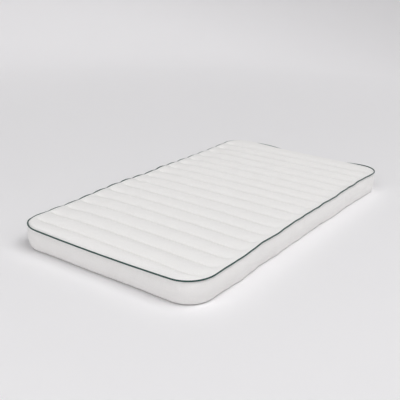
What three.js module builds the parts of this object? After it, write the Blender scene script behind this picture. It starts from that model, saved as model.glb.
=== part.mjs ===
// Kapok cot mattress: a quilted cotton cover filled with kapok, lying flat, with a
// thin dark green piping sewn into its top edge.
// Millimetres, +Z up. X runs along the length, Y across. The origin is on the
// surface that the mattress lies on, under its middle.
import * as THREE from "three";

// Overall size of the filled mattress
const LENGTH = 1200;
const WIDTH = 660;
const THICKNESS = 84;

// Top edge seam, where top panel, side band and piping meet
const BAND_BULGE = 8;             // the side band swells this far past the edge seam
const CORNER_RADIUS = 81;
const SIDE_DRAW_IN = 4.5;         // long edges are pulled in at mid length by the quilting
const EDGE_Z = 73;                // height of the edge seam at the corners
const END_SAG = 6.5;              // the seam hangs lower in the middle of each short end
const SIDE_RISE = 2.5;            // and stands higher in the middle of each long side
const SEAM_WAVER = 1.2;           // uneven sewing of the long edges, in and out,
const WAVER_LENGTHS = [61, 143];  // as the product of two slow waves, x per radian

// Quilting: straight seams across the width, with a filled channel between each two
const CHANNEL_PITCH = 65.3;
const SEAM_COUNT = 17;
const FIRST_SEAM_X = -541;
const SEAM_STOP = 22;             // the seams stop this far from the long edges
const SEAM_FADE = 30;             // and their grooves fade out over this width
const TOP_GROOVE = 8;             // depth of a groove under the crest of a channel
const BOTTOM_GROOVE = 6;          // the same underneath
const PRESSED_FLAT = 0.3;         // the weight flattens this share of each channel's underside
const CHANNEL_PULL = 1.3;         // each seam pulls the long edges in by this much
const CREST_ROUNDNESS = 0.8;      // 1 is a plain sine across a channel, less is fuller
const CROWN = 2;                  // the middle of the top stands above its rim
const CROWN_POWER = 4;            // and falls away only towards the rim
const SHOULDER = 8;               // how quickly the top panel rises beside the piping

// Side band
const BAND_LAYERS = 6;
const BAND_TUCK = 9;              // the lower edge seam lies in under the band
const TUCK_POWER = 5;
const LOWER_SEAM_Z = 4;
const LOWER_CURVE = 9;            // how quickly the bottom panel comes down to the floor

// Rows and columns of the cells that the cover is made of
const CORNER_ANGLES = [0, 15, 30, 45, 60];          // rows through the rounded ends
const CHANNEL_ROWS = [0.25, 0.5, 0.75];             // rows between two seams
const RIM_COLUMNS = [0, 4, 12, 24, 40, 62, 110, 200]; // in from the long edges

// Piping
const PIPING_DIAMETER = 5;
const PIPING_SIDES = 8;
const SEWN_GAP = 0.3;
const PIPING_LEAN = THREE.MathUtils.degToRad(20);   // it sits outside and above the edge seam

const HALF_LENGTH = LENGTH / 2 - BAND_BULGE;
const HALF_WIDTH = WIDTH / 2 - BAND_BULGE + SIDE_DRAW_IN;

const clamp = THREE.MathUtils.clamp;
const smoothstep = THREE.MathUtils.smoothstep;

const cottonMaterial = new THREE.MeshStandardMaterial({ color: 0xe9e6df, roughness: 0.92, metalness: 0 });
const pipingMaterial = new THREE.MeshStandardMaterial({ color: 0x1c4a43, roughness: 0.75, metalness: 0 });

const seamX = (number) => FIRST_SEAM_X + (number - 1) * CHANNEL_PITCH;

// Rows along the length: the rounded ends, each seam, and rows within each channel
function rowStations() {
  const rows = [];
  for (const angle of CORNER_ANGLES) {
    const inset = CORNER_RADIUS * (1 - Math.cos(THREE.MathUtils.degToRad(angle)));
    rows.push(-HALF_LENGTH + inset, HALF_LENGTH - inset);
  }
  for (let seam = 1; seam <= SEAM_COUNT; seam += 1) {
    rows.push(seamX(seam));
    const between = seam < SEAM_COUNT ? CHANNEL_ROWS : CHANNEL_ROWS.slice(0, 1);
    for (const share of between) {
      rows.push(seamX(seam) + share * CHANNEL_PITCH);
    }
  }
  return rows.sort((a, b) => a - b);
}

// Columns across the width, as shares of the half width: close together at the rim
function columnShares() {
  const half = RIM_COLUMNS.map((inset) => 1 - inset / HALF_WIDTH);
  return [...half.map((share) => -share), 0, ...half.reverse()];
}

// 0 on a seam, 1 on the crest of a channel
function channelCrest(x) {
  const position = (x - FIRST_SEAM_X) / CHANNEL_PITCH;
  const nearest = clamp(Math.round(position), 0, SEAM_COUNT - 1);
  const toSeam = Math.min(Math.abs(position - nearest) * 2, 1);
  return Math.sin((toSeam * Math.PI) / 2) ** CREST_ROUNDNESS;
}

// How far the rounded ends have narrowed the mattress at x: 0 along the straight sides
function endRound(x) {
  const past = Math.max(Math.abs(x) - (HALF_LENGTH - CORNER_RADIUS), 0);
  return CORNER_RADIUS - Math.sqrt(Math.max(CORNER_RADIUS ** 2 - past ** 2, 0));
}

// Half the width of the edge seam at x; side is -1 or 1
function halfWidthAt(x, side) {
  const middle = 1 - (x / HALF_LENGTH) ** 2;
  const drawn = SIDE_DRAW_IN * middle + CHANNEL_PULL * (1 - channelCrest(x)) * Math.sqrt(middle);
  const [shortWave, longWave] = WAVER_LENGTHS.map((length) => Math.sin(x / length + side));
  const waver = SEAM_WAVER * shortWave * longWave * middle ** 2;
  return HALF_WIDTH - endRound(x) - drawn - waver;
}

// Height of the edge seam near the point x, y of its loop
function edgeHeight(x, y) {
  const atEnd = clamp((Math.abs(x) - (HALF_LENGTH - CORNER_RADIUS)) / CORNER_RADIUS, 0, 1);
  const atSide = clamp((Math.abs(y) - (HALF_WIDTH - CORNER_RADIUS)) / CORNER_RADIUS, 0, 1);
  const sag = END_SAG * Math.max(1 - (y / HALF_WIDTH) ** 2, 0) * atEnd;
  const rise = SIDE_RISE * Math.max(1 - (x / HALF_LENGTH) ** 2, 0) * atSide;
  return EDGE_Z - sag + rise;
}

// Distance from x, y in to the nearest edge of the plan shape, a rounded rectangle
function insetFromEdge(x, y) {
  const alongX = Math.abs(x) - HALF_LENGTH + CORNER_RADIUS;
  const alongY = Math.abs(y) - HALF_WIDTH + CORNER_RADIUS;
  const outside = Math.hypot(Math.max(alongX, 0), Math.max(alongY, 0));
  return Math.max(CORNER_RADIUS - outside - Math.min(Math.max(alongX, alongY), 0), 0);
}

// How much of a groove is left at x, y: all of it inside, none near the long edges
function grooveShare(x, y) {
  const toSide = HALF_WIDTH - endRound(x) - Math.abs(y);
  return (1 - channelCrest(x)) * smoothstep(toSide, SEAM_STOP, SEAM_STOP + SEAM_FADE);
}

function topPoint(x, y) {
  const rise = 1 - Math.exp(-insetFromEdge(x, y) / SHOULDER);
  const middle = (1 - (x / HALF_LENGTH) ** CROWN_POWER) * (1 - (y / HALF_WIDTH) ** CROWN_POWER);
  const crest = THICKNESS - CROWN * (1 - middle);
  const surface = crest - TOP_GROOVE * grooveShare(x, y);
  const edge = edgeHeight(x, y);
  return new THREE.Vector3(x, y, edge + (surface - edge) * rise);
}

function bottomPoint(x, y) {
  const inset = insetFromEdge(x, y);
  const groove = BOTTOM_GROOVE * Math.max(grooveShare(x, y) - PRESSED_FLAT, 0);
  const rim = LOWER_SEAM_Z * Math.exp(-inset / LOWER_CURVE);
  return new THREE.Vector3(x, y, inset > 2 * LOWER_CURVE ? groove : rim);
}

// The edge seam's loop, point by point: both long sides and both ends, anticlockwise
function edgeLoop(rows, columns) {
  const loop = [];
  const last = rows.length - 1;
  const corner = (row, column) => {
    const side = Math.sign(columns[column]);
    const y = columns[column] * halfWidthAt(rows[row], side);
    return new THREE.Vector3(rows[row], y, edgeHeight(rows[row], y));
  };
  for (let row = 0; row < last; row += 1) loop.push(corner(row, 0));
  for (let column = 0; column < columns.length - 1; column += 1) loop.push(corner(last, column));
  for (let row = last; row > 0; row -= 1) loop.push(corner(row, columns.length - 1));
  for (let column = columns.length - 1; column > 0; column -= 1) loop.push(corner(0, column));
  return loop;
}

// Level, outward direction at each point of a closed loop
function outwardNormals(loop) {
  return loop.map((point, index) => {
    const before = loop[(index + loop.length - 1) % loop.length];
    const after = loop[(index + 1) % loop.length];
    return new THREE.Vector3(after.y - before.y, before.x - after.x, 0).normalize();
  });
}

// Side band: share 0 is the edge seam at the top, 1 the lower seam
function bandPoint(edge, outward, share) {
  const swell = BAND_BULGE * Math.sin(Math.PI * share) - BAND_TUCK * share ** TUCK_POWER;
  const point = edge.clone().addScaledVector(outward, swell);
  point.z = edge.z + (LOWER_SEAM_Z - edge.z) * share;
  return point;
}

// The filled cover: a unit box of cells whose points are moved onto top, bottom and band
function makeMattress(rows, columns, loop, normals) {
  const lastRow = rows.length - 1;
  const lastColumn = columns.length - 1;
  const box = new THREE.BoxGeometry(1, 1, 1, lastRow, lastColumn, BAND_LAYERS);
  box.deleteAttribute("normal");
  box.deleteAttribute("uv");
  const loopIndex = (row, column) => {
    if (column === 0) return row;
    if (row === lastRow) return lastRow + column;
    if (column === lastColumn) return lastRow + lastColumn + (lastRow - row);
    return 2 * lastRow + lastColumn + (lastColumn - column);
  };
  const position = box.attributes.position;
  const cell = new THREE.Vector3();
  for (let index = 0; index < position.count; index += 1) {
    cell.fromBufferAttribute(position, index).addScalar(0.5);
    const row = Math.round(cell.x * lastRow);
    const column = Math.round(cell.y * lastColumn);
    const onRim = row === 0 || row === lastRow || column === 0 || column === lastColumn;
    const x = rows[row];
    const y = columns[column] * halfWidthAt(x, Math.sign(columns[column]));
    let point;
    if (onRim) {
      const place = loopIndex(row, column) % loop.length;
      point = bandPoint(loop[place], normals[place], 1 - cell.z);
    } else if (cell.z > 0.5) {
      point = topPoint(x, y);
    } else {
      point = bottomPoint(x * (1 - BAND_TUCK / HALF_LENGTH), y * (1 - BAND_TUCK / HALF_WIDTH));
    }
    position.setXYZ(index, point.x, point.y, point.z);
  }
  const mesh = new THREE.Mesh(box, cottonMaterial);
  mesh.name = "mattress";
  return mesh;
}

// The piping: a ring whose points are moved round the edge seam, just clear of the cover
function makePiping(loop, normals) {
  const radius = PIPING_DIAMETER / 2;
  const reach = radius + SEWN_GAP;
  const torus = new THREE.TorusGeometry(1, 0.1, PIPING_SIDES, loop.length);
  torus.deleteAttribute("normal");
  torus.deleteAttribute("uv");
  const position = torus.attributes.position;
  const steps = loop.length + 1;
  for (let index = 0; index < position.count; index += 1) {
    const place = (index % steps) % loop.length;
    const turn = (Math.floor(index / steps) / PIPING_SIDES) * 2 * Math.PI;
    const out = reach * Math.cos(PIPING_LEAN) + radius * Math.cos(turn);
    const up = reach * Math.sin(PIPING_LEAN) + radius * Math.sin(turn);
    const point = loop[place].clone().addScaledVector(normals[place], out);
    position.setXYZ(index, point.x, point.y, point.z + up);
  }
  const mesh = new THREE.Mesh(torus, pipingMaterial);
  mesh.name = "piping";
  return mesh;
}

const rows = rowStations();
const columns = columnShares();
const loop = edgeLoop(rows, columns);
const normals = outwardNormals(loop);

const mattress = new THREE.Group();
mattress.add(makeMattress(rows, columns, loop, normals), makePiping(loop, normals));

export default mattress;
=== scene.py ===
# %% [markdown]
# # A kapok cot mattress, quilted and piped
#
# This lesson dresses a imported CAD part in Blender. The part is a thin mattress for a cot: a
# cotton cover filled with kapok, quilted in straight channels across its width, with a plain
# side band and a dark green piping in the top edge seam. The CAD part gives the size and the
# place of everything. Here we sew, fill and finish the cloth, and light it like a studio shot.
# We start by loading the CAD part, and keep the box of its piping.

# %% Load the CAD part and keep its box
import math
import bmesh
import bpy
import numpy as np
from mathutils import Matrix, Vector, bvhtree, noise


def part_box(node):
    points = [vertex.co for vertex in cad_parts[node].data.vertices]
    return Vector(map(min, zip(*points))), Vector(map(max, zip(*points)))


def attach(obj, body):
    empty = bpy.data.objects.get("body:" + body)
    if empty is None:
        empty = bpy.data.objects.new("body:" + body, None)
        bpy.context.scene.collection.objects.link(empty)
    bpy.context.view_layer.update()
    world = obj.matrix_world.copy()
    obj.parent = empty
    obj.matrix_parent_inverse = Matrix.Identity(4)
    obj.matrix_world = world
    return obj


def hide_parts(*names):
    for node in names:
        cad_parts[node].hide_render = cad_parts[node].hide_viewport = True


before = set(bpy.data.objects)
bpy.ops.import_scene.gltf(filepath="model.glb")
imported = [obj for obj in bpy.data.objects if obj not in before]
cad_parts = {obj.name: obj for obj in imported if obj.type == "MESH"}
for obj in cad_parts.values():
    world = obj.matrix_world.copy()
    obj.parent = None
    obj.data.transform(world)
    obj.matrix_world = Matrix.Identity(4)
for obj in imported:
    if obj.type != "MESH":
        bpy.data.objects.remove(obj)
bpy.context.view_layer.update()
piping_low, piping_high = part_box("piping")
print("piping from", piping_low, "to", piping_high)
print("nodes:", sorted(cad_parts))

# %% [markdown]
# ## The camera
#
# The photograph looks down along the mattress from beyond one corner, from about the height of
# a table. The direction, distance and lens were found by fitting the piping, the quilting seams
# and the floor line in the picture. Azimuth 0 would look along +Y and minus 90 along +X. The
# picture is turned by a little over one degree, as a camera held by hand is.

# %% Set up the camera
CAMERA_AZIMUTH = math.radians(-55.11)
CAMERA_ELEVATION = math.radians(20.78)
CAMERA_ROLL = math.radians(1.33)
CAMERA_DISTANCE = 2.2159
CAMERA_TARGET = Vector((-0.1018, 0.0131, 0.0732))
CAMERA_LENS = 61.475
SENSOR_WIDTH = 36.0
NEAREST = 0.05
FARTHEST = 60.0

level = math.cos(CAMERA_ELEVATION)
back = Vector((
    math.sin(CAMERA_AZIMUTH) * level, -math.cos(CAMERA_AZIMUTH) * level, math.sin(CAMERA_ELEVATION)))
right = Vector((math.cos(CAMERA_AZIMUTH), math.sin(CAMERA_AZIMUTH), 0.0))
above = back.cross(right)
rolled_right = right * math.cos(CAMERA_ROLL) + above * math.sin(CAMERA_ROLL)
rolled_up = above * math.cos(CAMERA_ROLL) - right * math.sin(CAMERA_ROLL)

camera = bpy.data.objects.new("camera", bpy.data.cameras.new("camera"))
bpy.context.scene.collection.objects.link(camera)
camera.matrix_world = Matrix.Translation(CAMERA_TARGET + back * CAMERA_DISTANCE) @ Matrix(
    (rolled_right, rolled_up, back)).transposed().to_4x4()
camera.data.lens = CAMERA_LENS
camera.data.sensor_width = SENSOR_WIDTH
camera.data.clip_start = NEAREST
camera.data.clip_end = FARTHEST
bpy.context.scene.camera = camera
print("camera stands", round(camera.location.z, 3), "m above the floor")

# %% [markdown]
# ## The studio floor
#
# The mattress lies on seamless pale paper, which turns up into a wall behind it without a line.
# A round floor whose rim is extruded up a quarter circle gives such a sweep on every side, so
# that the view from behind has a backdrop too. Each ring is the last one extruded, widened and
# lifted, as one would do by hand.

# %% Model the paper sweep
FLOOR_SIDES = 96
FLOOR_RADIUS = 2.9
SWEEP_RADIUS = 1.5
SWEEP_STEPS = 10
WALL_TOP = 2.6


def select_none():
    """Nothing is left selected, so that the next operator acts only on what we choose."""
    if bpy.context.mode != "OBJECT":
        bpy.ops.object.mode_set(mode="OBJECT")
    bpy.ops.object.select_all(action="DESELECT")


def select_only(piece):
    """This piece alone is selected and active."""
    select_none()
    piece.select_set(True)
    bpy.context.view_layer.objects.active = piece


def smooth_faces(inside):
    """Turns all faces outward, or inward, shades them smooth and ends edit mode."""
    bpy.ops.mesh.select_all(action="SELECT")
    bpy.ops.mesh.normals_make_consistent(inside=inside)
    bpy.ops.mesh.faces_shade_smooth()
    bpy.ops.object.mode_set(mode="OBJECT")


select_none()
bpy.ops.mesh.primitive_circle_add(vertices=FLOOR_SIDES, radius=FLOOR_RADIUS, fill_type="NGON")
paper_floor = bpy.context.object
paper_floor.name = "paper_floor"
bpy.ops.object.mode_set(mode="EDIT")
bpy.ops.mesh.select_all(action="SELECT")
bpy.ops.mesh.region_to_loop()
ring_radius, ring_height = FLOOR_RADIUS, 0.0
for step in range(1, SWEEP_STEPS + 2):
    turn = min(step / SWEEP_STEPS, 1.0) * math.pi / 2
    new_radius = FLOOR_RADIUS + SWEEP_RADIUS * math.sin(turn)
    new_height = SWEEP_RADIUS * (1 - math.cos(turn)) if step <= SWEEP_STEPS else WALL_TOP
    bpy.ops.mesh.extrude_region_move(TRANSFORM_OT_translate={"value": (0, 0, new_height - ring_height)})
    grow = new_radius / ring_radius
    bpy.ops.transform.resize(value=(grow, grow, 1), center_override=(0, 0, 0))
    ring_radius, ring_height = new_radius, new_height
smooth_faces(inside=True)
print("paper sweep:", len(paper_floor.data.polygons), "faces, up to", round(ring_height, 2), "m")

# %% [markdown]
# ## Soft studio light
#
# The shadows in the photograph are faint and wide, and they tell where the lights stand. The
# near long side is bright and throws no shadow, but a soft shadow lies beyond the near end: the
# main light is high, over the near side. The channels are brighter on their near flanks, more
# so than the suns alone make them, so an end light and a low softbox stand beyond the near end.
# The main and end lights are suns with a very wide disc, soft but without falling off, so that
# the far wall stays bright. A second softbox stands in front of the long side, and a dim, pale
# world fills the rest. The strengths were found by rendering each light alone and mixing the
# pictures until the mix agreed with the photograph.

# %% Set up the lights
AROUND_STRENGTH = 0.032
AROUND_COLOUR = (1.0, 1.0, 1.0, 1.0)
SUNS = (
    ("main_light", Vector((0.175, -0.4, 1.0)) * 3, 1.46),
    ("end_light", Vector((-0.9, 0.0, 1.0)) * 3, 0.64),
)
WIDE_LIGHT_ANGLE = math.radians(42)
SOFTBOXES = (
    ("end_softbox", Vector((-2.3, -0.2, 1.5)), 11.0),
    ("front_softbox", Vector((-0.3, -2.4, 2.0)), 16.5),
)
SOFTBOX_SIZE = 2.2
LIGHT_COLOUR = (1.0, 1.001, 1.008)

world = bpy.data.worlds.new("studio_surroundings")
bpy.context.scene.world = world
world.use_nodes = True
surroundings = world.node_tree.nodes["Background"]
surroundings.inputs["Color"].default_value = AROUND_COLOUR
surroundings.inputs["Strength"].default_value = AROUND_STRENGTH


def add_light(name, kind, place, strength):
    """A soft light that stands at this place and shines at the middle of the mattress."""
    data = bpy.data.lights.new(name, kind)
    data.energy = strength
    data.color = LIGHT_COLOUR
    lamp = bpy.data.objects.new(name, data)
    bpy.context.scene.collection.objects.link(lamp)
    lamp.matrix_world = Matrix.Translation(place) @ place.to_track_quat("Z", "Y").to_matrix().to_4x4()
    lamp.visible_camera = False
    return lamp


for name, place, strength in SUNS:
    add_light(name, "SUN", place, strength).data.angle = WIDE_LIGHT_ANGLE
for name, place, power in SOFTBOXES:
    softbox = add_light(name, "AREA", place, power)
    softbox.data.shape = "SQUARE"
    softbox.data.size = SOFTBOX_SIZE
bpy.context.scene.view_settings.view_transform = "Standard"
bpy.context.scene.view_settings.look = "None"
print("lights:", [name for name, _, _ in SUNS + SOFTBOXES])

# %% [markdown]
# ## The measures of the mattress
#
# These are the maker's measures in metres: half the length and width of the edge seam, the
# height of that seam, and the pitch and number of the quilting seams. These are the same as in
# the CAD source. The place of the first seam, the grooves, the shoulders and the tuck of the
# band differ from it, after a closer look at the photograph. The quilting isn't centred: the
# first seam is nearer to its end than the last one is to the other. The rim levels say how full
# the channels still are at the edge seam, and the shoulders how soon the top rises behind it.

# %% Write down the measures
HALF_LENGTH = 0.592
HALF_WIDTH = 0.3265
CORNER_RADIUS = 0.081
EDGE_HEIGHT = 0.073
CREST_HEIGHT = 0.084
FIRST_SEAM_X = -0.536
CHANNEL_PITCH = 0.0653
SEAM_COUNT = 17
TOP_GROOVE = 0.0102
FAR_END_DEEPER = 0.4
UNDER_GROOVE = 0.0042
SEAM_STOP = 0.004
SEAM_FULL = 0.042
RIM_LEVEL = 0.45
FAR_RIM_LEVEL = 0.15
SHOULDER = 0.013
FAR_SHOULDER = 0.0045
LOWER_SEAM_HEIGHT = 0.0050
BAND_TUCK = 0.003
TUCK_POWER = 4
seam_places = FIRST_SEAM_X + CHANNEL_PITCH * np.arange(SEAM_COUNT)
print("seams from", seam_places[0], "to", round(float(seam_places[-1]), 4))

# %% [markdown]
# ## Where the edge seam runs
#
# A hand-guided seam is never straight. The long edges are drawn in by the quilting, most at mid
# length, and each quilting seam pulls them in a little more. The sewing also wanders: for the
# near long side this was measured in the photograph every few centimetres, and for the far long
# side channel by channel. The edge seam sags in the middle of the short ends, where no channel
# stands up behind it, and a stretch of the far end stands up again. Each table here is a row of
# places along the seam and a row of how far it has moved there, both in millimetres.

# %% Describe the edge seam
NEAR_WANDER_X = np.array([
    -592, -505, -457, -397, -373, -337, -301, -277, -253, -229, -205, -181, -157,
    -121, -97, -61, -37, 0, 47, 71, 83, 107, 131, 167, 191, 203, 227, 251, 287, 311,
    347, 395, 431, 455, 479, 503, 592]) / 1000
NEAR_WANDER = np.array([
    0, 0.7, 0.4, -0.5, -0.5, 0.1, 1.5, 2.0, 1.9, 1.0, 0.0, 0.0, 0.8,
    1.3, 1.7, 1.6, 1.1, 1.6, 1.0, 0.4, 0.6, 1.7, 1.2, 0.2, -0.4, -0.3, 1.1, 1.5, 1.8, 2.0,
    1.0, 2.8, 1.5, 1.3, 0.6, -0.1, 0]) / 1000
FAR_LIFT_X = np.array([
    -592, -508, -443, -377, -312, -247, -181, -116, -51, 14, 79, 144, 209, 275, 340, 405, 500,
    592]) / 1000
FAR_LIFT = np.array([
    0, -4.8, -4.6, -6.3, -4.6, -2.6, 0.0, 0.0, -3.6, -5.6, -2.2, -5.8, -6.6, -6.6, -7.4, -7.6, -5.6,
    0]) / 1000
FAR_END_LIFT_Y = np.array([-326, -230, -190, -110, 0, 90, 125, 165, 205, 240, 326]) / 1000
FAR_END_LIFT = np.array([0, 0.5, -1.5, -2.5, -1, 0, 3, 4.5, 3.5, 0, 0]) / 1000
EDGE_DRAWN_IN = 0.0045
SEAM_PULL = 0.0013
FAR_WANDER = 0.0013
CHANNEL_LIFT = 0.0040
END_SAG = 0.0065
SIDE_RISE = 0.0025
CREST_ROUNDNESS = 0.8


def channel_crest(x):
    """0 on a quilting seam and 1 on the crest of a channel."""
    position = (x - FIRST_SEAM_X) / CHANNEL_PITCH
    nearest = np.clip(np.round(position), 0, SEAM_COUNT - 1)
    return np.sin(np.minimum(np.abs(position - nearest) * 2, 1) * math.pi / 2) ** CREST_ROUNDNESS


def seam_distance(x):
    """How far x is from the nearest quilting seam."""
    position = (x - FIRST_SEAM_X) / CHANNEL_PITCH
    return np.abs(position - np.clip(np.round(position), 0, SEAM_COUNT - 1)) * CHANNEL_PITCH


def mid_length(x):
    """1 at mid length and 0 at the ends."""
    return np.clip(1 - (x / HALF_LENGTH) ** 2, 0, 1)


def past_straight(value, half):
    """0 where a side is straight, rising round the corner to 1 at its outermost line."""
    return np.clip((np.abs(value) - (half - CORNER_RADIUS)) / CORNER_RADIUS, 0, 1)


def edge_wander(x, y):
    """How far the sewing of a long edge has wandered in at x, on the side of y."""
    near = np.interp(x, NEAR_WANDER_X, NEAR_WANDER)
    far = FAR_WANDER * np.sin(x / 0.047 + 1.3) * np.sin(x / 0.13 + 0.4) * mid_length(x)
    return np.where(y < 0, near, far)


def edge_lift(x, y):
    """How far the sewing has risen there. On the far side each channel lifts its own stretch."""
    lifted = CHANNEL_LIFT * (channel_crest(x) - 0.5) * np.sqrt(mid_length(x))
    far = np.interp(x, FAR_LIFT_X, FAR_LIFT) + lifted
    return np.where(y < 0, np.interp(x, NEAR_WANDER_X, NEAR_WANDER), far)


def draw_in(x, y):
    """How far the long edge on the side of y lies inside its straight line at x."""
    pull = SEAM_PULL * (1 - channel_crest(x)) * np.sqrt(mid_length(x))
    return EDGE_DRAWN_IN * mid_length(x) + pull + edge_wander(x, y)


def edge_seam_height(x, y):
    """Height of the edge seam near the point x, y of its loop."""
    at_end = past_straight(x, HALF_LENGTH)
    at_side = past_straight(y, HALF_WIDTH)
    sag = END_SAG * np.clip(1 - (y / HALF_WIDTH) ** 2, 0, 1) * at_end
    rise = SIDE_RISE * mid_length(x) * at_side
    end_lift = np.where(x > 0, np.interp(y, FAR_END_LIFT_Y, FAR_END_LIFT), 0) * at_end
    return EDGE_HEIGHT - sag + rise + edge_lift(x, y) * at_side + end_lift


print("edge seam height at mid end:", round(float(edge_seam_height(-HALF_LENGTH, 0.0)) * 1000, 1), "mm")

# %% [markdown]
# ## Where the quilting and the lower seam run
#
# The quilting seams slant and waver a little, most near the near end, as four rows of the
# photograph show. Their grooves fade out towards the edge. The lower seam, between the side
# band and the bottom panel, bulges out and in along the near side, where its line against the
# floor could be measured. The sides that weren't measured get a slow wave.

# %% Describe the quilting seams and the lower seam
STRAY_Y = [-0.33, -0.23, -0.16, 0, 0.13, 0.33]
STRAY_X = [-0.011, -0.010, -0.006, -0.001, 0.003, 0.001]
FAR_STRAY = 0.003
SEAM_WAVER = 0.0022
LOWER_WANDER_X = np.array([
    -592, -500, -440, -380, -300, -260, -230, -210, -170, -130, -60, -30, 30, 110, 160, 240, 300, 380, 450,
    500, 592]) / 1000
LOWER_WANDER = np.array([
    0, -3, 0, 4, 0, -1, 1.5, 0, 3.5, 1.5, 2.6, 4.8, 1, 0.5, 4.3, 6.7, 3.7, 5.7, 8, 8, 3]) / 1000


def inset_from_edge(x, y):
    """Distance in from the edge seam of a plain rounded rectangle."""
    along_x = np.abs(x) - HALF_LENGTH + CORNER_RADIUS
    along_y = np.abs(y) - HALF_WIDTH + CORNER_RADIUS
    outside = np.hypot(np.maximum(along_x, 0), np.maximum(along_y, 0))
    return np.maximum(CORNER_RADIUS - outside - np.minimum(np.maximum(along_x, along_y), 0), 0)


def smooth_step(value, low, high):
    """0 below low, 1 above high, and a smooth rise between them."""
    share = np.clip((value - low) / (high - low), 0, 1)
    return share * share * (3 - 2 * share)


def unevenness(points, size, seed):
    """A smooth fixed noise between about -1 and 1, one value for each point."""
    shift = Vector((seed * 3.17, seed * 1.71, seed * 0.93))
    return np.array([noise.noise(Vector(p) / size + shift) for p in points])


def far_side(y):
    """0 on the near half and 1 towards the far long side, where the top is fuller."""
    return smooth_step(y, 0.0, 0.24)


def groove_share(x, y):
    """How deep the top lies at x, y: 0 on a crest, 1 in a groove, and level at the rim."""
    grooved = smooth_step(inset_from_edge(x, y), SEAM_STOP, SEAM_FULL)
    level = RIM_LEVEL + (FAR_RIM_LEVEL - RIM_LEVEL) * far_side(y)
    return level + (1 - channel_crest(x) - level) * grooved


def seam_stray(x, y):
    """How far a quilting seam has strayed along x, as measured at four rows of the photograph."""
    slant = np.interp(y, STRAY_Y, STRAY_X)
    straight = smooth_step(x, -0.2, 0.05)
    waver = SEAM_WAVER * unevenness(np.column_stack([x * 0.8, y * 0.25, x * 0]), 0.06, 31)
    strayed = slant * (1 - straight) + FAR_STRAY * straight + waver
    return strayed * smooth_step(inset_from_edge(x, y), 0, 0.04)


def lower_seam_wander(x, y):
    """How far the lower seam has wandered out at x, y: measured on the near side, slow elsewhere."""
    near = np.interp(x, LOWER_WANDER_X, LOWER_WANDER)
    far = 0.0015 * np.sin(x / 0.061 + 2.1) + 0.001
    end = 0.001 * np.sin(y / 0.043 + 0.7)
    return end + (np.where(y < 0, near, far) - end) * past_straight(y, HALF_WIDTH)


# %% [markdown]
# ## Cutting the cover
#
# The cover is a closed bag of cloth. A grid is the natural start, because its columns can lie
# exactly on the quilting seams. Extruding the whole grid downwards several times makes the side
# band, row by row, and the last copy of the grid is the bottom panel. The grid is made in
# counting units: each vertex still knows its column, its row and its layer by its place.

# %% Cut the cover as a slab of cells
CELL_EDGES = np.array([0, 0.045, 0.13, 0.3, 0.5, 0.7, 0.87, 0.955])
BAND_LAYERS = 9
END_INSETS = np.array([0, 4, 9, 16, 25, 35, 45, 53]) / 1000
FAR_END_INSETS = np.array([0, 4, 9, 16, 25, 35, 45, 56, 67, 75, 80]) / 1000
SIDE_INSETS = np.array([0, 4, 9, 16, 25]) / 1000
SIDE_CELLS = 35
EVEN_ROWS_FROM = 0.034

column_x = np.concatenate([
    -HALF_LENGTH + END_INSETS,
    (seam_places[:-1, None] + CHANNEL_PITCH * CELL_EDGES).ravel(),
    seam_places[-1:],
    (HALF_LENGTH - FAR_END_INSETS)[::-1],
])
even_rows = np.linspace(HALF_WIDTH - EVEN_ROWS_FROM, 0, SIDE_CELLS - 4)
half_rows = np.concatenate([HALF_WIDTH - SIDE_INSETS, even_rows])
row_y = np.concatenate([-half_rows, half_rows[-2::-1]])
columns, rows = len(column_x) - 1, len(row_y) - 1

select_none()
bpy.ops.mesh.primitive_grid_add(x_subdivisions=columns, y_subdivisions=rows, size=2)
cover = bpy.context.object
cover.name = "quilted_cover"
bpy.ops.object.mode_set(mode="EDIT")
bpy.ops.mesh.select_all(action="SELECT")
for layer in range(BAND_LAYERS):
    bpy.ops.mesh.extrude_region_move(TRANSFORM_OT_translate={"value": (0, 0, -1)})
smooth_faces(inside=False)


def read_points(piece):
    """The vertices of a piece as rows of x, y, z."""
    flat = np.empty(len(piece.data.vertices) * 3)
    piece.data.vertices.foreach_get("co", flat)
    return flat.reshape(-1, 3)


def write_points(piece, points):
    """Moves the vertices of a piece to these places."""
    piece.data.vertices.foreach_set("co", np.ascontiguousarray(points, dtype=np.float32).ravel())
    piece.data.update()


counted = read_points(cover)
column = np.round((counted[:, 0] + 1) / 2 * columns).astype(int)
row = np.round((counted[:, 1] + 1) / 2 * rows).astype(int)
layer = np.round(-counted[:, 2]).astype(int)
on_rim = (column == 0) | (column == columns) | (row == 0) | (row == rows)
print("cover cut:", len(cover.data.polygons), "cells,", columns, "by", rows, "and", BAND_LAYERS, "band rows")

# %% [markdown]
# ## Rounding the corners
#
# In the four corner squares the straight rows and columns have to follow a round corner. The
# mapping from a square to a disc does this: x times the root of (1 minus half of y squared),
# and the same the other way round. It leaves the straight sides where they are. Then the long
# edges are drawn in. The direction out of the cover at each point is kept for the side band.

# %% Lay the rows and columns out as a rounded rectangle
TINY = 1e-6


def round_corners(x, y):
    """Bends a plain rectangle's corner squares into quarter discs."""
    share_x = np.clip((np.abs(x) - HALF_LENGTH + CORNER_RADIUS) / CORNER_RADIUS, 0, 1)
    share_y = np.clip((np.abs(y) - HALF_WIDTH + CORNER_RADIUS) / CORNER_RADIUS, 0, 1)
    new_x = share_x * np.sqrt(1 - share_y ** 2 / 2)
    new_y = share_y * np.sqrt(1 - share_x ** 2 / 2)
    round_x = np.where(share_x > 0, np.sign(x) * (HALF_LENGTH - CORNER_RADIUS * (1 - new_x)), x)
    round_y = np.where(share_y > 0, np.sign(y) * (HALF_WIDTH - CORNER_RADIUS * (1 - new_y)), y)
    return round_x, round_y


flat_x, flat_y = round_corners(column_x[column], row_y[row])
plan_x = flat_x
plan_y = flat_y * (1 - draw_in(flat_x, flat_y) / HALF_WIDTH)

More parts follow.
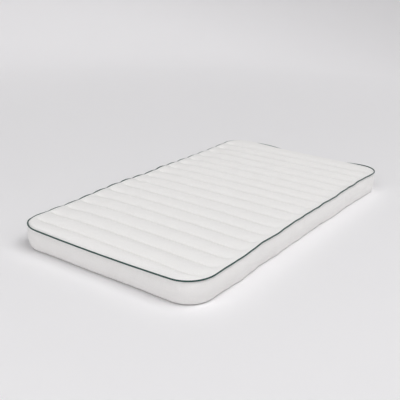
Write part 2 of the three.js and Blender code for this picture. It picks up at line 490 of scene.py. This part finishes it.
away_x = np.sign(flat_x) * np.maximum(np.abs(flat_x) - HALF_LENGTH + CORNER_RADIUS, 0)
away_y = np.sign(flat_y) * np.maximum(np.abs(flat_y) - HALF_WIDTH + CORNER_RADIUS, 0)
away = np.hypot(away_x, away_y)
out_x = np.where(away > TINY, away_x / np.maximum(away, TINY), 0)
out_y = np.where(away > TINY, away_y / np.maximum(away, TINY), 0)
print("plan is", round(float(np.ptp(plan_x[on_rim])), 4), "by", round(float(np.ptp(plan_y[on_rim])), 4), "m")

# %% [markdown]
# ## Sewing it up slack
#
# Before it is filled the cover already has its seams in their final place, but the cloth
# between them is slack: the channels stand at nine tenths of their full height, and the side
# band is nearly straight. A little unevenness, from a fixed noise, keeps the filled channels
# from looking like castings. The cushion swells later, so it starts from this smaller shape.
# Near the far long side the crests follow the edge seam up and down for most of its way.

# %% Shape the slack cover
SLACK = 0.9
UNEVEN = 0.0005
CREST_FALL = 0.002
FOLLOWS_LIFT = 0.88
FOLLOWS_LESS = 0.28
RIM_ROUNDNESS = 0.009
TUCK_ROUNDNESS = 0.03
BAND_SWELL = 0.005


def top_height(x, y, fullness):
    """Height of the top panel: channels at this share of their full height."""
    edge = edge_seam_height(x, y)
    middle = np.clip(1 - (x / HALF_LENGTH) ** 4, 0, 1) * np.clip(1 - (y / HALF_WIDTH) ** 4, 0, 1)
    crest = CREST_HEIGHT - CREST_FALL * (1 - middle)
    follows = FOLLOWS_LIFT - FOLLOWS_LESS * smooth_step(x, -0.1, 0.2)
    crest = crest + np.interp(x, FAR_LIFT_X, FAR_LIFT) * follows * smooth_step(y, 0.20, 0.31)
    groove = TOP_GROOVE * (1 + FAR_END_DEEPER * smooth_step(x, -0.15, 0.2))
    depth = 1 - (1 - groove_share(x, y)) * fullness
    shoulder = SHOULDER + (FAR_SHOULDER - SHOULDER) * far_side(y)
    return edge + (crest - groove * depth - edge) * (1 - np.exp(-inset_from_edge(x, y) / shoulder))


def under_height(x, y):
    """Height of the bottom panel: flat strips under the channels, and raised rims."""
    inset = inset_from_edge(x, y)
    grooved = (1 - channel_crest(x)) * smooth_step(inset, 0.012, 0.042)
    groove = UNDER_GROOVE * np.clip(1.5 * grooved - 0.3, 0, 1)
    return groove + lower_seam_height(x, y) * np.exp(-inset / RIM_ROUNDNESS)


def lower_seam_height(x, y):
    """Where the lower seam has wandered out, it also lies a little lower."""
    return LOWER_SEAM_HEIGHT - 0.22 * lower_seam_wander(x, y)


def lower_seam_tuck(x, y):
    """How far the lower seam lies inside the edge seam above it."""
    return BAND_TUCK - 0.6 * lower_seam_wander(x, y)


share_down = layer / BAND_LAYERS
slack = np.zeros((len(column), 3))
is_top = (layer == 0) & ~on_rim
is_under = (layer == BAND_LAYERS) & ~on_rim
slack[:, 0] = plan_x
slack[:, 1] = plan_y
slack[is_top, 2] = top_height(plan_x[is_top], plan_y[is_top], SLACK)
tuck = lower_seam_tuck(plan_x, plan_y)
pulled = tuck * np.exp(-inset_from_edge(flat_x, flat_y) / TUCK_ROUNDNESS)
slack[is_under, 2] = under_height(plan_x[is_under], plan_y[is_under])
slack[is_under, 0] -= (out_x * pulled)[is_under]
slack[is_under, 1] -= (out_y * pulled)[is_under]

band = on_rim
swell = BAND_SWELL * np.sin(math.pi * share_down[band]) - tuck[band] * share_down[band] ** TUCK_POWER
slack[band, 0] += out_x[band] * swell
slack[band, 1] += out_y[band] * swell
edge_z = edge_seam_height(plan_x[band], plan_y[band])
slack[band, 2] = edge_z + (lower_seam_height(plan_x[band], plan_y[band]) - edge_z) * share_down[band]

free = is_top | (band & (layer > 0) & (layer < BAND_LAYERS))
slack[free, 2] += UNEVEN * unevenness(slack[free], 0.03, 1)
write_points(cover, slack)
print("slack cover stands", round(float(slack[:, 2].max()) * 1000, 1), "mm high")

# %% [markdown]
# ## Filling the cover
#
# Kapok pushes evenly on the cloth from inside, so Blender's Cloth with pressure and no gravity
# is a fair stand-in. The seams are pinned: the quilting lines on top and underneath, the edge
# seam and the lower seam. Everything else may swell for twenty frames.

# %% Fill the cover with a cloth simulation
PRESSURE = 5.0
FRAMES = 20
PINNED_FROM = 0.010

on_seam = (seam_distance(column_x[column]) < 1e-4) & (inset_from_edge(flat_x, flat_y) > PINNED_FROM)
at_seams = (is_top | is_under) & on_seam
at_edges = band & ((layer == 0) | (layer == BAND_LAYERS))
pinned = np.nonzero(at_seams | at_edges)[0]


def fill_with_pressure(piece, pinned_vertices):
    """Runs Cloth on the piece and applies it. The pinned vertices stay where they are."""
    pins = piece.vertex_groups.new(name="sewn")
    pins.add([int(v) for v in pinned_vertices], 1.0, "REPLACE")
    cloth = piece.modifiers.new("filling", "CLOTH")
    cloth.settings.quality = 6
    cloth.settings.mass = 0.12
    cloth.settings.air_damping = 3.0
    cloth.settings.tension_stiffness = 25.0
    cloth.settings.compression_stiffness = 20.0
    cloth.settings.shear_stiffness = 8.0
    cloth.settings.bending_stiffness = 1.0
    cloth.settings.shrink_min = 0.0
    cloth.settings.use_pressure = True
    cloth.settings.uniform_pressure_force = PRESSURE
    cloth.settings.vertex_group_mass = pins.name
    cloth.settings.effector_weights.gravity = 0.0
    cloth.collision_settings.use_collision = False
    cloth.point_cache.frame_start = 1
    cloth.point_cache.frame_end = FRAMES
    for number in range(1, FRAMES + 1):
        bpy.context.scene.frame_set(number)
    select_only(piece)
    bpy.ops.object.modifier_apply(modifier=cloth.name)
    bpy.context.scene.frame_set(1)
    piece.vertex_groups.clear()


fill_with_pressure(cover, pinned)
filled = read_points(cover)
print("filled: moved by up to", round(float(np.linalg.norm(filled - slack, axis=1).max()) * 1000, 1), "mm")

# %% [markdown]
# ## Keeping the filling in bounds
#
# A simulation is only as exact as its settings. So no point of the panels may move more than a
# few millimetres, the crests are measured, and what they lack of their full height is added by
# formula. Beside the edge seam the top keeps its drawn shape, or it would blow up into a rim.
# The weight of the mattress presses the underside flat on the floor: nothing goes below it.

# %% Cap the swelling and rest the cover on the floor
MOST_MOVED = 0.003
MOST_MOVED_BAND = 0.006
RIM_CALM = 0.006
RIM_FREE = 0.050

moved = filled - slack
most = np.where(is_top | is_under, MOST_MOVED, MOST_MOVED_BAND)[:, None]
length_moved = np.linalg.norm(moved, axis=1, keepdims=True)
moved *= np.minimum(1, most / np.maximum(length_moved, 1e-9))
rested = slack + moved

inset = inset_from_edge(flat_x, flat_y)
full_height = top_height(plan_x, plan_y, 1.0)
crest_points = is_top & (channel_crest(plan_x) > 0.97) & (inset > 0.08)
lacking = (full_height - rested[:, 2])[crest_points].mean()
lift = full_height - top_height(plan_x, plan_y, SLACK)
rested[is_top, 2] += (lift * lacking / lift[crest_points].mean())[is_top]
near_rim = 1 - smooth_step(inset, RIM_CALM, RIM_FREE)
rested[is_top, 2] += ((full_height - rested[:, 2]) * near_rim)[is_top]
rested[:, 2] = np.maximum(rested[:, 2], 0)
print("the crests lacked", round(lacking * 1000, 2), "mm after filling")
write_points(cover, rested)
print("highest point", round(float(rested[:, 2].max()) * 1000, 1), "mm, lowest", rested[:, 2].min())

# %% [markdown]
# ## Smoothing, with sharp seams
#
# One level of subdivision rounds the cells. The edge seam and the lower seam are creased
# first, because cloth that is sewn turns sharply there.

# %% Crease the two edge seams and subdivide
def crease_loops(piece, chosen):
    """Creases the edges between chosen vertices fully."""
    mesh = bmesh.new()
    mesh.from_mesh(piece.data)
    crease = mesh.edges.layers.float.get("crease_edge") or mesh.edges.layers.float.new("crease_edge")
    for edge in mesh.edges:
        a, b = edge.verts[0].index, edge.verts[1].index
        if chosen[a] and chosen[b] and layer[a] == layer[b]:
            edge[crease] = 1.0
    mesh.to_mesh(piece.data)
    mesh.free()


crease_loops(cover, at_edges)
edge_ring = np.nonzero(band & (layer == 0))[0]
turn_round = np.arctan2(slack[edge_ring, 1] / HALF_WIDTH, slack[edge_ring, 0] / HALF_LENGTH)
edge_ring = edge_ring[np.argsort(turn_round)]
seam_loop = rested[edge_ring].copy()

select_only(cover)
smoothing = cover.modifiers.new("smoothing", "SUBSURF")
smoothing.levels = 1
smoothing.render_levels = 1
bpy.ops.object.modifier_apply(modifier=smoothing.name)
points = read_points(cover)
print("cover has", len(cover.data.polygons) * 2, "triangles")

# %% [markdown]
# ## Seam creases and puckers
#
# A row of stitches bites deeper than the round channels suggest, and gathers the cloth into
# short puckers at right angles to it. Both fade out before the edge. The side band has the
# same kind of puckers below the piping and above the lower seam, and four soft dents on the
# near side, where the photograph shows them. Last, everything is moved along x by as much as
# the quilting seams have strayed.

# %% Press in the stitch lines and pucker the cloth
BITE_DEPTH = 0.0016
BITE_WIDTH = 0.0035
FAR_BITE_DEEPER = 0.8
PUCKER = 0.0007
GATHER_DEPTH = 0.0011
SLOW_DEPTH = 0.0018
DENT_X = (0.095, 0.286, 0.327, 0.457)
DENT_DEPTH = 0.0017
DENT_WIDTH = 0.008

x, y, z = points.T
inset = inset_from_edge(x, y / (1 - draw_in(x, y) / HALF_WIDTH))
from_seam = seam_distance(x)
fade = smooth_step(inset, 0.016, 0.045)
upper = (z > 0.060) & (inset > 0.006)
deeper = 1 + FAR_BITE_DEEPER * smooth_step(x, -0.15, 0.2)
bite = BITE_DEPTH * deeper * np.exp(-((from_seam / BITE_WIDTH) ** 2)) * fade
across = np.column_stack([x * 0.35, y, np.round((x - FIRST_SEAM_X) / CHANNEL_PITCH)])
wrinkle = unevenness(across, 0.0105, 5) * np.exp(-from_seam / 0.013) * fade
points[upper, 2] += (PUCKER * wrinkle - bite)[upper]

side = (inset < 0.004) & (z > 0.001) & (z < 0.0722)
round_the_side = np.column_stack([x, y, z * 0.25])
below_piping = np.exp(-(edge_seam_height(x, y) - z) / 0.014)
above_floor = np.exp(-(z - LOWER_SEAM_HEIGHT) / 0.012)
mid_band = np.sin(math.pi * np.clip(z / EDGE_HEIGHT, 0, 1))
gather = unevenness(round_the_side, 0.013, 9) * (below_piping * 0.5 + above_floor) * GATHER_DEPTH
slow = unevenness(round_the_side, 0.055, 12) * SLOW_DEPTH * mid_band
dents = sum(np.exp(-(((x + 0.1 * z - dent_x) / DENT_WIDTH) ** 2)) for dent_x in DENT_X)
slow -= DENT_DEPTH * dents * mid_band * (y < 0)
corner_x = np.sign(x) * np.maximum(np.abs(x) - HALF_LENGTH + CORNER_RADIUS, 0)
corner_y = np.sign(y) * np.maximum(np.abs(y) - HALF_WIDTH + CORNER_RADIUS, 0)
corner_length = np.maximum(np.hypot(corner_x, corner_y), TINY)
points[side, 0] += ((gather + slow) * corner_x / corner_length)[side]
points[side, 1] += ((gather + slow) * corner_y / corner_length)[side]
points[:, 2] = np.maximum(points[:, 2], 0)
points[:, 0] += seam_stray(x, y)
write_points(cover, points)
print("puckered", int(upper.sum()), "top points and", int(side.sum()), "band points")

# %% [markdown]
# ## The piping
#
# Piping is a cord wrapped in a bias strip of cloth, whose flange is caught in the edge seam.
# It follows the seam loop of the cover, standing just outside and above it, as in the CAD
# part. It is one closed tube of twelve sides. Its UV map runs along the cord and round it, in
# metres, for the weave.

# %% Lay the piping round the edge seam
PIPING_RADIUS = 0.0021
PIPING_CLEARANCE = 0.0025
PIPING_LEAN = math.radians(20)
PIPING_SIDES = 12
PIPING_STEP = 0.0024
PIPING_UNEVEN = 0.035


def even_loop(loop, step):
    """The closed loop again, with its points at even distances and its kinks averaged out."""
    closed = np.vstack([loop, loop[:1]])
    runs = np.concatenate([[0], np.cumsum(np.linalg.norm(np.diff(closed, axis=0), axis=1))])
    count = int(round(runs[-1] / step))
    at = np.linspace(0, runs[-1], count, endpoint=False)
    rough = np.column_stack([np.interp(at, runs, closed[:, k]) for k in range(3)])
    for _ in range(6):
        rough = (np.roll(rough, 1, axis=0) + 2 * rough + np.roll(rough, -1, axis=0)) / 4
    return rough, runs[-1]


path, piping_length = even_loop(seam_loop, PIPING_STEP)
ahead = np.roll(path, -1, axis=0) - np.roll(path, 1, axis=0)
ahead /= np.linalg.norm(ahead, axis=1, keepdims=True)
outward = np.column_stack([ahead[:, 1], -ahead[:, 0], np.zeros(len(path))])
outward /= np.linalg.norm(outward, axis=1, keepdims=True)
upward = np.cross(outward, ahead)
upward *= np.sign(upward[:, 2:3])
centre = path + outward * PIPING_CLEARANCE * math.cos(PIPING_LEAN)
centre[:, 2] += PIPING_CLEARANCE * math.sin(PIPING_LEAN)
thickness = 1 + PIPING_UNEVEN * unevenness(path, 0.02, 21)

angles = np.arange(PIPING_SIDES) / PIPING_SIDES * 2 * math.pi
ring = (outward[:, None, :] * np.cos(angles)[None, :, None]
        + upward[:, None, :] * np.sin(angles)[None, :, None])
tube = centre[:, None, :] + ring * (PIPING_RADIUS * thickness)[:, None, None]
steps = len(path)
index = np.arange(steps * PIPING_SIDES).reshape(steps, PIPING_SIDES)
next_step = np.roll(index, -1, axis=0)
next_side = np.roll(index, -1, axis=1)
quads = np.stack([index, next_step, np.roll(next_step, -1, axis=1), next_side], axis=-1).reshape(-1, 4)
piping_mesh = bpy.data.meshes.new("green_piping")
piping_mesh.from_pydata(tube.reshape(-1, 3).tolist(), [], quads.tolist())
piping = bpy.data.objects.new("green_piping", piping_mesh)
bpy.context.scene.collection.objects.link(piping)
select_only(piping)
bpy.ops.object.mode_set(mode="EDIT")
smooth_faces(inside=False)
print("piping:", round(piping_length, 3), "m long,", len(quads) * 2, "triangles")

# %% [markdown]
# ## The quilting stitches
#
# Each quilting seam is a row of lockstitches a few millimetres long, in undyed thread. One
# stitch is modelled: a five-sided cylinder whose ends are drawn in, so that it looks like
# thread that dives into the cloth. It is then repeated down every seam, on top and underneath,
# lying on the cloth, with a slight unevenness in its direction. Underneath, stitches that would
# touch the floor are left out.

# %% Model one stitch and sew the seams
STITCH_PITCH = 0.0042
STITCH_LENGTH = 0.0033
STITCH_RADIUS = 0.00032
SEW_TO_INSET = 0.024
LOWEST_STITCH = 0.001
STITCH_SIDES = 5
STITCH_SLANT = 0.06
STITCH_RAISED = 0.35

select_none()
bpy.ops.mesh.primitive_cylinder_add(
    vertices=STITCH_SIDES, radius=STITCH_RADIUS, depth=STITCH_LENGTH, rotation=(math.pi / 2, 0, 0))
stitch = bpy.context.object
bpy.ops.object.transform_apply(location=False, rotation=True, scale=False)
bpy.ops.object.mode_set(mode="EDIT")
bpy.ops.mesh.select_mode(type="FACE")
bpy.ops.mesh.select_all(action="DESELECT")
bpy.ops.object.mode_set(mode="OBJECT")
for face in stitch.data.polygons:
    face.select = abs(face.normal.y) > 0.9
bpy.ops.object.mode_set(mode="EDIT")
bpy.ops.mesh.inset(thickness=STITCH_RADIUS * 0.45, depth=STITCH_RADIUS * 0.6, use_individual=True)
bpy.ops.mesh.select_all(action="SELECT")
bpy.ops.mesh.quads_convert_to_tris()
bpy.ops.object.mode_set(mode="OBJECT")
one_stitch = read_points(stitch)
one_faces = np.array([face.vertices[:] for face in stitch.data.polygons])
bpy.data.objects.remove(stitch)

cover_tree = bvhtree.BVHTree.FromObject(cover, bpy.context.evaluated_depsgraph_get())
randomly = np.random.default_rng(17)
stitch_points, stitch_faces = [], []
for seam_x in seam_places:
    end_y = HALF_WIDTH - SEW_TO_INSET
    sewn_y = np.arange(-end_y, end_y, STITCH_PITCH)
    sewn_x = seam_x + seam_stray(np.full(len(sewn_y), seam_x), sewn_y)
    for stitch_x, seam_y in zip(sewn_x, sewn_y):
        if inset_from_edge(stitch_x, seam_y) < SEW_TO_INSET:
            continue
        for from_z, down in ((0.2, -1), (-0.1, 1)):
            places = []
            for y_end in (seam_y - STITCH_LENGTH / 2, seam_y + STITCH_LENGTH / 2):
                hit = cover_tree.ray_cast(Vector((stitch_x, y_end, from_z)), Vector((0, 0, down)))
                places.append(np.array(hit[0]))
            if down > 0 and min(places[0][2], places[1][2]) < LOWEST_STITCH:
                continue
            along = places[1] - places[0]
            along /= np.linalg.norm(along)
            sideways = np.array([1.0, randomly.normal(0, STITCH_SLANT), 0.0])
            sideways -= along * (sideways @ along)
            sideways /= np.linalg.norm(sideways)
            turned = np.column_stack([sideways, along, np.cross(sideways, along)])
            raised = np.array([0, 0, down]) * STITCH_RADIUS * STITCH_RAISED
            middle_place = (places[0] + places[1]) / 2 - raised
            stitch_faces.append(one_faces + len(stitch_points) * len(one_stitch))
            stitch_points.append(one_stitch @ turned.T + middle_place)
stitch_mesh = bpy.data.meshes.new("quilting_stitches")
stitch_mesh.from_pydata(np.vstack(stitch_points).tolist(), [], np.vstack(stitch_faces).tolist())
stitches = bpy.data.objects.new("quilting_stitches", stitch_mesh)
bpy.context.scene.collection.objects.link(stitches)
print(len(stitch_points), "stitches,", len(stitch_mesh.polygons), "triangles")

# %% [markdown]
# ## UV maps in metres
#
# The weave has to lie in the cloth: along the length and width on the panels, and along the
# edge and down on the side band. So each piece gets a UV map that is measured in metres, and
# the weave's thread count then means the same everywhere.

# %% Measure the UV maps
BAND_WITHIN = 0.002
FACES_UP = 0.8


def measure_cover_uv(piece):
    """Panels from above, the band unrolled along the edge."""
    uv = piece.data.uv_layers[0] if piece.data.uv_layers else piece.data.uv_layers.new()
    uv.name = "metres"
    straight_x, straight_y = HALF_LENGTH - CORNER_RADIUS, HALF_WIDTH - CORNER_RADIUS
    place = read_points(piece)
    normals = np.empty(len(piece.data.polygons) * 3)
    piece.data.polygons.foreach_get("normal", normals)
    normals = normals.reshape(-1, 3)
    coordinates = np.zeros((len(piece.data.loops), 2))
    for face in piece.data.polygons:
        corners = place[list(face.vertices)]
        middle = corners.mean(axis=0)
        undrawn_y = middle[1] / (1 - draw_in(middle[0], middle[1]) / HALF_WIDTH)
        on_band = inset_from_edge(middle[0], undrawn_y) < BAND_WITHIN
        for loop_number, corner in zip(face.loop_indices, corners):
            if not on_band or abs(normals[face.index, 2]) > FACES_UP:
                coordinates[loop_number] = corner[:2]
            elif abs(middle[1]) > straight_y and abs(middle[0]) > straight_x:
                turn = math.atan2(abs(corner[1]) - straight_y, abs(corner[0]) - straight_x)
                arc = CORNER_RADIUS * turn * np.sign(middle[0]) * np.sign(middle[1])
                coordinates[loop_number] = (arc, corner[2])
            elif abs(middle[1]) > straight_y:
                coordinates[loop_number] = (corner[0], corner[2])
            else:
                coordinates[loop_number] = (corner[1], corner[2])
    uv.data.foreach_set("uv", coordinates.ravel())


def measure_piping_uv(piece):
    """Along the cord and round it, in metres."""
    uv = piece.data.uv_layers.new(name="metres")
    girth = 2 * math.pi * PIPING_RADIUS
    coordinates = np.zeros((len(piece.data.loops), 2))
    for face in piece.data.polygons:
        numbers = list(face.vertices)
        along = [n // PIPING_SIDES for n in numbers]
        round_it = [n % PIPING_SIDES for n in numbers]
        if max(along) - min(along) > 1:
            along = [a + steps if a == 0 else a for a in along]
        if max(round_it) - min(round_it) > 1:
            round_it = [r + PIPING_SIDES if r == 0 else r for r in round_it]
        for loop_number, a, r in zip(face.loop_indices, along, round_it):
            coordinates[loop_number] = (a / steps * piping_length, r / PIPING_SIDES * girth)
    uv.data.foreach_set("uv", coordinates.ravel())


measure_cover_uv(cover)
measure_piping_uv(piping)
print("uv maps:", cover.data.uv_layers[0].name, piping.data.uv_layers[0].name)

# %% [markdown]
# ## Woven cloth as a node group
#
# The cover and the piping are both plain-woven cloth at different thread counts, so the weave
# is one node group. Warp and weft cross like a chessboard: where the product of two sines is
# positive the warp lies on top, elsewhere the weft. Stretched noise makes some threads thicker,
# the slubs of natural cotton. The group puts out a height for the bump, a shade for the colour
# and a slow mottling. The shade is painted shade, darker where a thread dips under the next one,
# plus the real tone of the slubs.

# %% Build the woven cloth group
SLUB_LONG = 28
SLUB_FINE = 1100


def group_with_sockets(name, inputs, outputs):
    """A new shader node group with float or vector inputs and float outputs."""
    group = bpy.data.node_groups.new(name, "ShaderNodeTree")
    for label, kind, default in inputs:
        socket = group.interface.new_socket(name=label, in_out="INPUT", socket_type=kind)
        if default is not None:
            socket.default_value = default
    for label in outputs:
        group.interface.new_socket(name=label, in_out="OUTPUT", socket_type="NodeSocketFloat")
    return group, group.nodes.new("NodeGroupInput"), group.nodes.new("NodeGroupOutput")


def add_math(tree, operation, first, second=None, clamp=False):
    """A Math node; each operand is a number or another node's output."""
    node = tree.nodes.new("ShaderNodeMath")
    node.operation = operation
    node.use_clamp = clamp
    for slot_number, operand in enumerate((first, second)):
        if operand is None:
            continue
        if isinstance(operand, (int, float)):
            node.inputs[slot_number].default_value = operand
        else:
            tree.links.new(operand, node.inputs[slot_number])
    return node.outputs[0]


def add_noise(tree, vector, scale, detail, roughness=0.5):
    """A Noise texture's value, from 0 to 1."""
    node = tree.nodes.new("ShaderNodeTexNoise")
    node.inputs["Scale"].default_value = scale
    node.inputs["Detail"].default_value = detail
    node.inputs["Roughness"].default_value = roughness
    tree.links.new(vector, node.inputs["Vector"])
    return node.outputs["Fac"]


def stretch(tree, vector, factors):
    """The vector, multiplied by a different factor on each axis."""
    node = tree.nodes.new("ShaderNodeVectorMath")
    node.operation = "MULTIPLY"
    node.inputs[1].default_value = factors
    tree.links.new(vector, node.inputs[0])
    return node.outputs[0]


woven_inputs = [
    ("Metres", "NodeSocketVector", None),
    ("Threads", "NodeSocketFloat", 1800.0),
    ("Slubs", "NodeSocketFloat", 0.5),
]
woven, woven_in, woven_out = group_with_sockets("woven_cloth", woven_inputs, ["Height", "Shade", "Mottle"])
split = woven.nodes.new("ShaderNodeSeparateXYZ")
woven.links.new(woven_in.outputs["Metres"], split.inputs[0])
thread_sines = []
for axis in (0, 1):
    threads_passed = add_math(woven, "MULTIPLY", split.outputs[axis], woven_in.outputs["Threads"])
    half_turns = add_math(woven, "MULTIPLY", threads_passed, math.pi)
    thread_sines.append(add_math(woven, "SINE", half_turns))
sine_u, sine_v = thread_sines
warp_on_top = add_math(woven, "GREATER_THAN", add_math(woven, "MULTIPLY", sine_u, sine_v), 0.0)
warp_round = add_math(woven, "ABSOLUTE", sine_u)
weft_round = add_math(woven, "ABSOLUTE", sine_v)
warp_part = add_math(woven, "MULTIPLY", warp_round, warp_on_top)
weft_part = add_math(woven, "MULTIPLY", weft_round, add_math(woven, "SUBTRACT", 1.0, warp_on_top))
threads_height = add_math(woven, "ADD", warp_part, weft_part)
metres = woven_in.outputs["Metres"]
slub_along = add_noise(woven, stretch(woven, metres, (SLUB_LONG, SLUB_FINE, 1)), 1.0, 2.0)
slub_across = add_noise(woven, stretch(woven, metres, (SLUB_FINE, SLUB_LONG, 1)), 1.0, 2.0)
slubs = add_math(woven, "SUBTRACT", add_math(woven, "ADD", slub_along, slub_across), 1.0)
slubs_wanted = add_math(woven, "MULTIPLY", slubs, woven_in.outputs["Slubs"])
slub_height = add_math(woven, "MULTIPLY", slubs_wanted, 2.0)
woven.links.new(add_math(woven, "ADD", threads_height, slub_height), woven_out.inputs["Height"])
# Painted shade: the colour is darker where a thread dips under the next one; the slubs then add their own
# tone.
shade = add_math(woven, "ADD", add_math(woven, "MULTIPLY", threads_height, 0.35), 0.65)
woven.links.new(add_math(woven, "ADD", shade, slubs_wanted), woven_out.inputs["Shade"])
woven.links.new(add_noise(woven, metres, 9.0, 4.0, 0.6), woven_out.inputs["Mottle"])
print("woven cloth group has", len(woven.nodes), "nodes")

# %% [markdown]
# ## The cotton cover and the piping cloth
#
# Undyed cotton is matt and nearly white, a little warm, with paler and darker slubs in its threads, a
# soft mottling and a few tiny flecks of seed husk. Painted shade darkens it where its threads dip.
# A faint sheen stands for the fuzz of its fibres. The piping cloth is a finer, dark green weave,
# laid on the bias, so its threads run at 45 degrees to the cord, with the same painted shade.

# %% Mix the cloth materials
def new_material(name, roughness, sheen):
    """A material with its Principled BSDF set for matt cloth."""
    material = bpy.data.materials.new(name)
    material.use_nodes = True
    surface = material.node_tree.nodes["Principled BSDF"]
    surface.inputs["Roughness"].default_value = roughness
    surface.inputs["Sheen Weight"].default_value = sheen
    surface.inputs["Sheen Roughness"].default_value = 0.6
    surface.inputs["Specular IOR Level"].default_value = 0.25
    return material, material.node_tree, surface


def mix_colours(tree, factor, first, second):
    """Between two colours, by a factor that another node gives."""
    node = tree.nodes.new("ShaderNodeMix")
    node.data_type = "RGBA"
    tree.links.new(factor, node.inputs[0])
    for socket, colour in ((node.inputs[6], first), (node.inputs[7], second)):
        if isinstance(colour, tuple):
            socket.default_value = (*colour, 1)
        else:
            tree.links.new(colour, socket)
    return node.outputs[2]


def remap(tree, value, low, high, new_low, new_high):
    """The value's range from low to high, stretched to a new range and kept in it."""
    node = tree.nodes.new("ShaderNodeMapRange")
    node.inputs["From Min"].default_value = low
    node.inputs["From Max"].default_value = high
    node.inputs["To Min"].default_value = new_low
    node.inputs["To Max"].default_value = new_high
    tree.links.new(value, node.inputs["Value"])
    return node.outputs[0]


def add_weave(tree, threads, slubs, turn=0.0):
    """The woven cloth group, fed by the piece's UV map in metres."""
    uv = tree.nodes.new("ShaderNodeUVMap")
    uv.uv_map = "metres"
    vector = uv.outputs[0]
    if turn:
        mapping = tree.nodes.new("ShaderNodeMapping")
        mapping.inputs["Rotation"].default_value = (0, 0, turn)
        tree.links.new(vector, mapping.inputs["Vector"])
        vector = mapping.outputs[0]
    weave = tree.nodes.new("ShaderNodeGroup")
    weave.node_tree = woven
    weave.inputs["Threads"].default_value = threads
    weave.inputs["Slubs"].default_value = slubs
    tree.links.new(vector, weave.inputs["Metres"])
    return weave, vector


def add_bump(tree, surface, height, strength, distance):
    """Sends this height through a Bump node to the surface's normal."""
    bump = tree.nodes.new("ShaderNodeBump")
    bump.inputs["Strength"].default_value = strength
    bump.inputs["Distance"].default_value = distance
    tree.links.new(height, bump.inputs["Height"])
    tree.links.new(bump.outputs["Normal"], surface.inputs["Normal"])


def object_place(tree):
    """The place on the piece itself, for a noise that needs no UV map."""
    return tree.nodes.new("ShaderNodeTexCoord").outputs["Object"]


COTTON_PALE = (0.93, 0.92, 0.908)
COTTON_DEEP = (0.82, 0.805, 0.785)
COTTON_MOTTLE = (0.90, 0.885, 0.865)
HUSK_FLECK = (0.45, 0.36, 0.26)
COTTON_THREADS = 1500.0
cotton, cotton_tree, cotton_surface = new_material("undyed_cotton", 0.9, 0.15)
cotton_weave, cotton_metres = add_weave(cotton_tree, COTTON_THREADS, 0.35)
# Painted shade from the weave, together with the real slub tone, picks between the deep and the pale cotton.
cotton_shade = remap(cotton_tree, cotton_weave.outputs["Shade"], 0.55, 1.05, 0.0, 1.0)
shade_and_slub_colour = mix_colours(cotton_tree, cotton_shade, COTTON_DEEP, COTTON_PALE)
cotton_mottle = remap(cotton_tree, cotton_weave.outputs["Mottle"], 0.35, 0.7, 0.0, 0.35)
mottled = mix_colours(cotton_tree, cotton_mottle, shade_and_slub_colour, COTTON_MOTTLE)
fleck_noise = add_noise(cotton_tree, cotton_metres, 420.0, 1.0)
flecks = remap(cotton_tree, fleck_noise, 0.76, 0.80, 0.0, 0.5)
flecked = mix_colours(cotton_tree, flecks, mottled, HUSK_FLECK)
cotton_tree.links.new(flecked, cotton_surface.inputs["Base Color"])
add_bump(cotton_tree, cotton_surface, cotton_weave.outputs["Height"], 0.35, 0.0003)

GREEN_DEEP = (0.003, 0.026, 0.022)
GREEN_LIT = (0.012, 0.066, 0.056)
GREEN_THREADS = 2400.0
green, green_tree, green_surface = new_material("green_piping_cloth", 0.8, 0.25)
green_weave = add_weave(green_tree, GREEN_THREADS, 0.2, math.pi / 4)[0]
green_shade = remap(green_tree, green_weave.outputs["Shade"], 0.6, 1.0, 0.0, 1.0)
green_colour = mix_colours(green_tree, green_shade, GREEN_DEEP, GREEN_LIT)
green_tree.links.new(green_colour, green_surface.inputs["Base Color"])
add_bump(green_tree, green_surface, green_weave.outputs["Height"], 0.4, 0.0002)

THREAD_DEEP = (0.82, 0.79, 0.74)
THREAD_PALE = (0.9, 0.875, 0.84)
thread, thread_tree, thread_surface = new_material("quilting_thread", 0.7, 0.1)
thread_noise = add_noise(thread_tree, object_place(thread_tree), 900.0, 2.0)
thread_shade = remap(thread_tree, thread_noise, 0.3, 0.7, 0.0, 1.0)
thread_colour = mix_colours(thread_tree, thread_shade, THREAD_DEEP, THREAD_PALE)
thread_tree.links.new(thread_colour, thread_surface.inputs["Base Color"])

PAPER_DEEP = (0.855, 0.845, 0.853)
PAPER_PALE = (0.865, 0.856, 0.863)
paper, paper_tree, paper_surface = new_material("studio_paper", 0.95, 0.0)
paper_noise = add_noise(paper_tree, object_place(paper_tree), 0.8, 2.0)
paper_colour = mix_colours(paper_tree, paper_noise, PAPER_DEEP, PAPER_PALE)
paper_tree.links.new(paper_colour, paper_surface.inputs["Base Color"])

for piece, material in ((cover, cotton), (piping, green), (stitches, thread), (paper_floor, paper)):
    piece.data.materials.clear()
    piece.data.materials.append(material)
print("materials:", [m.name for m in (cotton, green, thread, paper)])

# %% [markdown]
#
# The part has no joint, so every piece rides on its one body. The filled cover stands for the CAD
# mattress and the piping for the CAD piping.

# %% Hand the pieces over and finish
for piece in (cover, piping, stitches):
    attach(piece, "root")
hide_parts("mattress")
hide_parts("piping")
